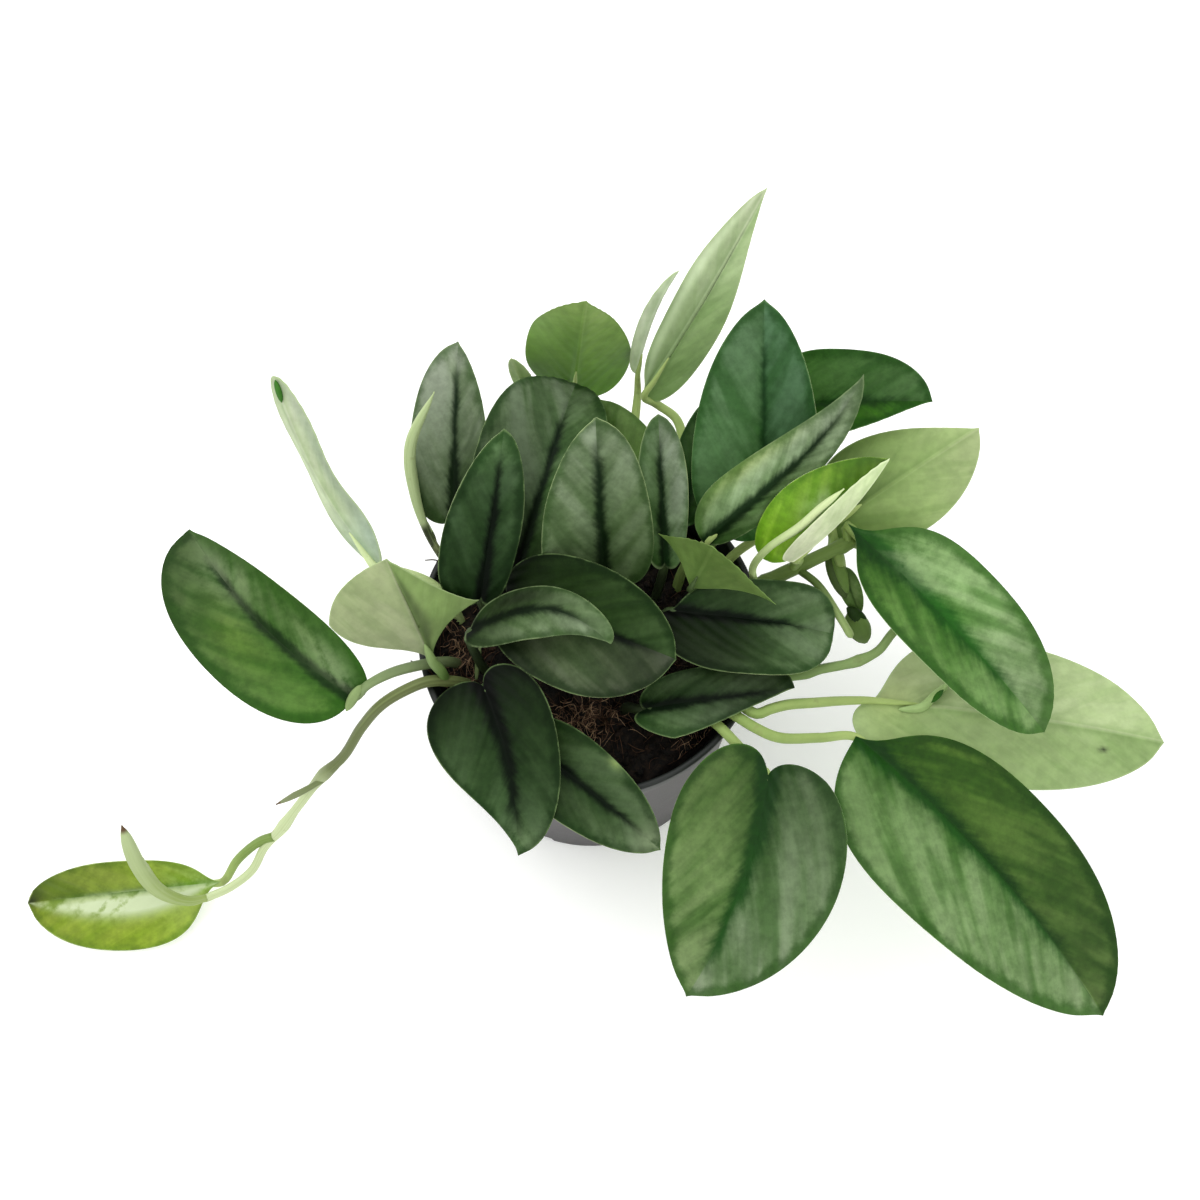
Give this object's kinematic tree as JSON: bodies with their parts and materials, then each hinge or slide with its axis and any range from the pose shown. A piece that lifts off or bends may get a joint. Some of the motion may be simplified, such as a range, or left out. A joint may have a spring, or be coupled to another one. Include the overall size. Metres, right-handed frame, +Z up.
{
  "type": "potted vining aroid with silvery heart-shaped leaves",
  "caption": "Young scindapsus treubii with dark and silvery heart-shaped leaves, pale undersides, rolled new leaves and a long trailing stem, in a round tapered nursery pot.",
  "frame": {"origin": "centre of the pot's underside, on the surface that the pot stands on", "axes": "+Z up, -Y towards the viewer of the picture, +X to the right of the picture"},
  "size_m": [0.4172, 0.2659, 0.1872],
  "materials": {
    "pot_plastic": "satin dark grey thin plastic",
    "potting_mix": "rough, crumbly, with bark and fibres",
    "stem": "smooth, slightly waxy",
    "leaf_dark": "satin, with a silvery sheen",
    "leaf_grey": "satin, silvery",
    "leaf_green": "satin, with a silvery sheen",
    "leaf_olive": "satin",
    "leaf_pale": "matte underside",
    "leaf_fresh": "glossy young leaf",
    "rolled_leaf": "satin",
    "sheath": "papery"
  },
  "bodies": {
    "root": {"pot": "pot_plastic", "soil": "potting_mix", "vine_west": "stem", "vine_east": "stem", "vine_east_low": "stem", "stalk_east": "stem", "leaf_west_broad": "leaf_dark", "leaf_west_folded": "leaf_pale", "leaf_west_narrow": "leaf_pale", "leaf_trailing": "leaf_fresh", "leaf_north_west": "leaf_grey", "leaf_north_heart": "leaf_olive", "leaf_north_small": "leaf_olive", "leaf_north_pale": "leaf_pale", "leaf_north_narrow": "leaf_pale", "leaf_centre_broad": "leaf_dark", "leaf_centre_bright": "leaf_grey", "leaf_centre_left": "leaf_dark", "leaf_centre_back": "leaf_green", "leaf_centre_low": "leaf_olive", "leaf_centre_curled": "leaf_grey", "leaf_centre_narrow": "leaf_dark", "leaf_north_east_dark": "leaf_dark", "leaf_north_east_shade": "leaf_dark", "leaf_far_east": "leaf_green", "leaf_east_lance": "leaf_grey", "leaf_east_pale": "leaf_olive", "leaf_east_fresh": "leaf_fresh", "leaf_small_end_on": "leaf_olive", "leaf_south_round": "leaf_dark", "leaf_south_dark": "leaf_dark", "leaf_south_heart": "leaf_dark", "leaf_south_lance": "leaf_dark", "leaf_south_east_heart": "leaf_green", "leaf_east_largest": "leaf_green", "leaf_east_pale_large": "leaf_pale", "leaf_east_glossy": "leaf_green", "sheath_east_upper": "sheath", "sheath_west": "sheath", "roll_north_west": "rolled_leaf", "roll_west": "rolled_leaf", "roll_east": "rolled_leaf"}
  },
  "joints": []
}
